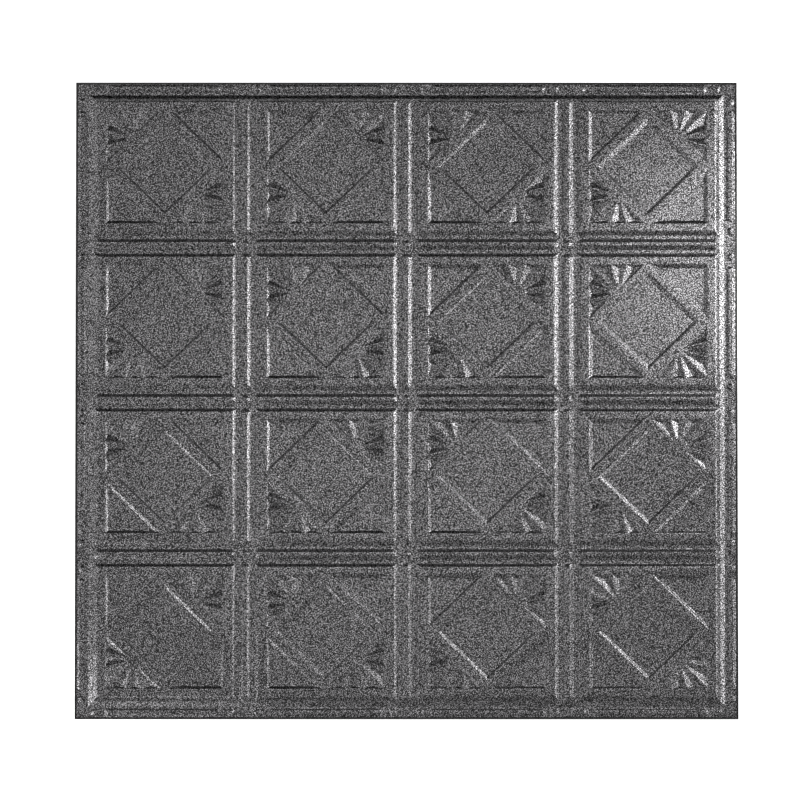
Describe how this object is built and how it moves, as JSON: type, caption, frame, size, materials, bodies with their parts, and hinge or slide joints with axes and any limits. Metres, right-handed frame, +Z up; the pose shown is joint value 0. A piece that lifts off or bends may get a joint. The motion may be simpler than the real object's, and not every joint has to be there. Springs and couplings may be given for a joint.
{
  "type": "pressed tin ceiling tile",
  "caption": "Square pressed metal ceiling tile: raised panels with sunk diamonds and fluted corner fans, ridged grooves between them, and a flat nailing flange with beads.",
  "frame": {"origin": "middle of the tile, on the underside of its flange", "axes": "+Z up out of the patterned face, X and Y along the tile's edges"},
  "size_m": [0.6224, 0.6224, 0.0056],
  "materials": {
    "tin": "dark gunmetal hammered finish, semi-gloss"
  },
  "bodies": {
    "root": {"pressed_tile": "tin"}
  },
  "joints": []
}
